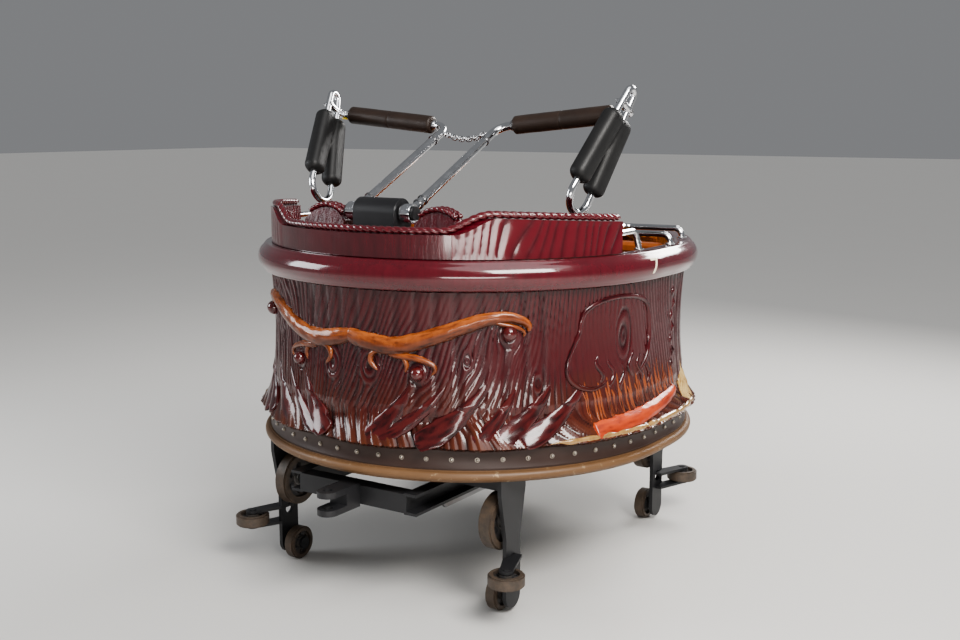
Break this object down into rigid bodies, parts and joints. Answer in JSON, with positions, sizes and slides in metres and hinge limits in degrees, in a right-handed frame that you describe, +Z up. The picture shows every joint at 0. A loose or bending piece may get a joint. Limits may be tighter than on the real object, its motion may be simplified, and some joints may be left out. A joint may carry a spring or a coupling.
{
  "type": "roller coaster car",
  "caption": "Round carved-wood tub car for two riders, with raised chrome lap restraints, on a steel frame with load, guide and up-stop wheels.",
  "frame": {"origin": "midway between the two couplings, on the ground plane that the up-stop wheels touch", "axes": "+Y forward along the track, +X to the riders' right, +Z up"},
  "size_m": [1.9826, 2.35, 2.1528],
  "materials": {
    "carved_gelcoat": "glossy glazed glass fibre carved as wood",
    "rim_gelcoat": "glossy maroon glass fibre",
    "rope_gelcoat": "glossy glass fibre cast as twisted rope",
    "branch_glaze": "glossy orange-brown glaze",
    "seat_gelcoat": "dark glossy glass fibre",
    "root_glaze": "glossy red-orange glaze worn to gold",
    "orange_wood": "glossy orange-brown carved wood",
    "tan_rail": "worn tan paint",
    "dark_ring": "dark brown paint",
    "floor_grey": "ribbed rubber",
    "seat_vinyl": "stitched dark vinyl",
    "chrome_tube": "polished",
    "chain_steel": "plated wire",
    "lap_foam": "moulded foam skin",
    "black_foam": "moulded foam skin",
    "black_steel": "satin black paint",
    "bare_steel": "worn bright by brakes",
    "wheel_tread": "polyurethane tread on a steel hub"
  },
  "bodies": {
    "root": {"base_rail": "tan_rail", "base_ring": "dark_ring", "root_skirt": "root_glaze", "tub_wall": "carved_gelcoat", "wall_carvings": "branch_glaze", "rim": "rim_gelcoat", "floor_pan": "floor_grey", "liner": "orange_wood", "rear_deck": "rim_gelcoat", "seat_shell": "seat_gelcoat", "wings": "rim_gelcoat", "headrests": "rim_gelcoat", "rope_trim": "rope_gelcoat", "seat_cushions": "seat_vinyl", "back_cushions": "seat_vinyl", "front_deck": "orange_wood", "grab_bars": "chrome_tube", "pivot_block": "dark_ring", "chassis_frame": "black_steel", "axle_beams": "black_steel", "drawbar": "black_steel", "clevis": "black_steel", "brake_fin": "bare_steel", "carrier_front_right": "black_steel", "carrier_front_left": "black_steel", "carrier_rear_right": "black_steel", "carrier_rear_left": "black_steel"},
    "load_wheel_front_right": {"load_wheel_front_right": "wheel_tread"},
    "guide_wheel_front_right": {"guide_wheel_front_right": "wheel_tread"},
    "upstop_wheel_front_right": {"upstop_wheel_front_right": "wheel_tread"},
    "load_wheel_front_left": {"load_wheel_front_left": "wheel_tread"},
    "guide_wheel_front_left": {"guide_wheel_front_left": "wheel_tread"},
    "upstop_wheel_front_left": {"upstop_wheel_front_left": "wheel_tread"},
    "load_wheel_rear_right": {"load_wheel_rear_right": "wheel_tread"},
    "guide_wheel_rear_right": {"guide_wheel_rear_right": "wheel_tread"},
    "upstop_wheel_rear_right": {"upstop_wheel_rear_right": "wheel_tread"},
    "load_wheel_rear_left": {"load_wheel_rear_left": "wheel_tread"},
    "guide_wheel_rear_left": {"guide_wheel_rear_left": "wheel_tread"},
    "upstop_wheel_rear_left": {"upstop_wheel_rear_left": "wheel_tread"},
    "restraint_right": {"restraint_right": "chrome_tube", "lap_pad_right": "lap_foam", "bolster_pads_right": "black_foam", "chain": "chain_steel"},
    "restraint_left": {"restraint_left": "chrome_tube", "lap_pad_left": "lap_foam", "bolster_pads_left": "black_foam"}
  },
  "joints": [
    {"name": "load_spin_front_right", "type": "hinge", "parent": "root", "child": "load_wheel_front_right", "pos_m": [0.55, 0.7, 0.385], "axis": [1, 0, 0], "continuous": true},
    {"name": "guide_spin_front_right", "type": "hinge", "parent": "root", "child": "guide_wheel_front_right", "pos_m": [0.6825, 0.86, 0.2075], "axis": [0, 0, 1], "continuous": true},
    {"name": "upstop_spin_front_right", "type": "hinge", "parent": "root", "child": "upstop_wheel_front_right", "pos_m": [0.55, 0.7, 0.075], "axis": [1, 0, 0], "continuous": true},
    {"name": "load_spin_front_left", "type": "hinge", "parent": "root", "child": "load_wheel_front_left", "pos_m": [-0.55, 0.7, 0.385], "axis": [1, 0, 0], "continuous": true},
    {"name": "guide_spin_front_left", "type": "hinge", "parent": "root", "child": "guide_wheel_front_left", "pos_m": [-0.6825, 0.86, 0.2075], "axis": [0, 0, 1], "continuous": true},
    {"name": "upstop_spin_front_left", "type": "hinge", "parent": "root", "child": "upstop_wheel_front_left", "pos_m": [-0.55, 0.7, 0.075], "axis": [1, 0, 0], "continuous": true},
    {"name": "load_spin_rear_right", "type": "hinge", "parent": "root", "child": "load_wheel_rear_right", "pos_m": [0.55, -0.7, 0.385], "axis": [1, 0, 0], "continuous": true},
    {"name": "guide_spin_rear_right", "type": "hinge", "parent": "root", "child": "guide_wheel_rear_right", "pos_m": [0.6825, -0.86, 0.2075], "axis": [0, 0, 1], "continuous": true},
    {"name": "upstop_spin_rear_right", "type": "hinge", "parent": "root", "child": "upstop_wheel_rear_right", "pos_m": [0.55, -0.7, 0.075], "axis": [1, 0, 0], "continuous": true},
    {"name": "load_spin_rear_left", "type": "hinge", "parent": "root", "child": "load_wheel_rear_left", "pos_m": [-0.55, -0.7, 0.385], "axis": [1, 0, 0], "continuous": true},
    {"name": "guide_spin_rear_left", "type": "hinge", "parent": "root", "child": "guide_wheel_rear_left", "pos_m": [-0.6825, -0.86, 0.2075], "axis": [0, 0, 1], "continuous": true},
    {"name": "upstop_spin_rear_left", "type": "hinge", "parent": "root", "child": "upstop_wheel_rear_left", "pos_m": [-0.55, -0.7, 0.075], "axis": [1, 0, 0], "continuous": true},
    {"name": "restraint_close_right", "type": "hinge", "parent": "root", "child": "restraint_right", "pos_m": [0.14, -0.75, 1.631], "axis": [-1, 0, 0], "range_deg": [0, 48]},
    {"name": "restraint_close_left", "type": "hinge", "parent": "root", "child": "restraint_left", "pos_m": [-0.14, -0.75, 1.631], "axis": [-1, 0, 0], "range_deg": [0, 48]}
  ],
  "couplings": [
    {"joint": "restraint_close_left", "follows": "restraint_close_right", "ratio": 1}
  ]
}
